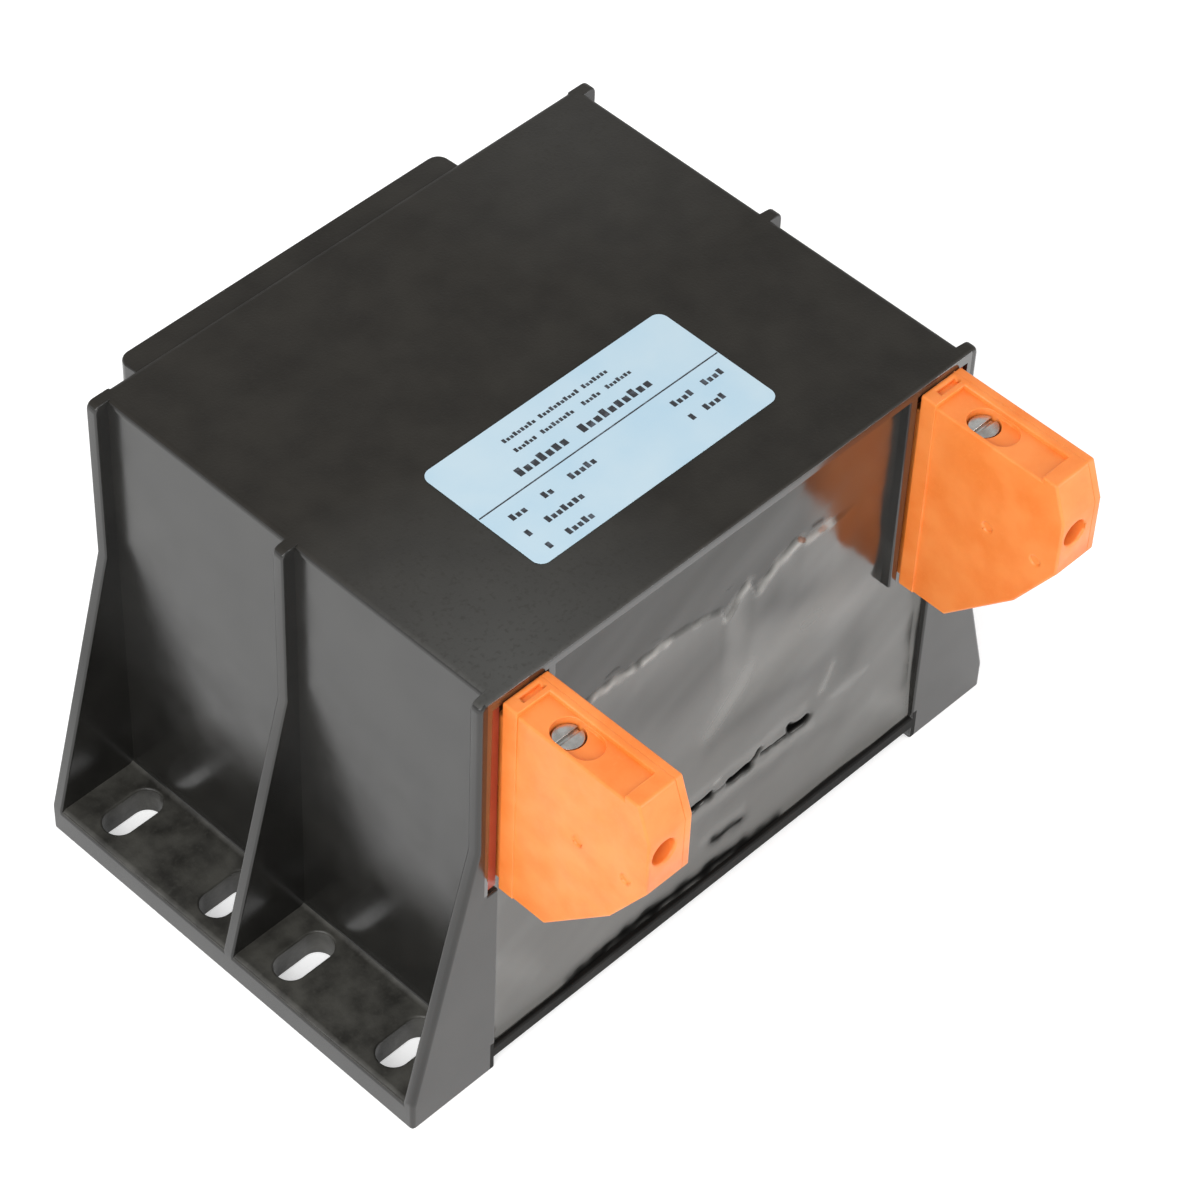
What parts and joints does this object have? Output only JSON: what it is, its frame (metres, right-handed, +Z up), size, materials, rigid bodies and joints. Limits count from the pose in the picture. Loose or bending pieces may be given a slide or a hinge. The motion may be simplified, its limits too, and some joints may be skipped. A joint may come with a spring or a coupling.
{
  "type": "dc reactor",
  "caption": "Resin-potted choke in an open-front moulded pot on slotted, ribbed feet, with a screw terminal in each upper front corner and a label plate on top.",
  "frame": {"origin": "centre of the fixing-slot pattern, on the mounting plane under the feet", "axes": "+X to the right across the feet, +Y to the closed back, +Z up from the mounting plane; the resin-filled front faces -Y"},
  "size_m": [0.1464, 0.13, 0.0982],
  "materials": {
    "pot_plastic": "fine-grained charcoal moulding",
    "resin": "glossy cast grey resin",
    "label_film": "pale blue satin film",
    "terminal_plastic": "satin orange moulding",
    "clamp_steel": "zinc plated",
    "bar_brass": "tinned",
    "core_steel": "laminated electrical steel",
    "spacer_board": "pressboard",
    "strap_steel": "plain",
    "bobbin_plastic": "natural moulding",
    "winding_copper": "enamelled",
    "wrap_tape": "polyester tape",
    "sleeve_braid": "woven"
  },
  "bodies": {
    "root": {"pot_housing": "pot_plastic", "potting_resin": "resin", "rating_label": "label_film", "terminal_body_left": "terminal_plastic", "terminal_body_right": "terminal_plastic", "terminal_cover_left": "terminal_plastic", "terminal_cover_right": "terminal_plastic", "clamp_cage_left": "clamp_steel", "clamp_cage_right": "clamp_steel", "clamp_screws": "clamp_steel", "current_bar_left": "bar_brass", "current_bar_right": "bar_brass", "core_e_stack": "core_steel", "core_i_stack": "core_steel", "center_gap_spacer": "spacer_board", "side_gap_spacers": "spacer_board", "core_strap": "strap_steel", "bobbin": "bobbin_plastic", "winding": "winding_copper", "winding_wrap": "wrap_tape", "lead_left": "winding_copper", "lead_right": "winding_copper", "lead_sleeve_left": "sleeve_braid", "lead_sleeve_right": "sleeve_braid"}
  },
  "joints": []
}
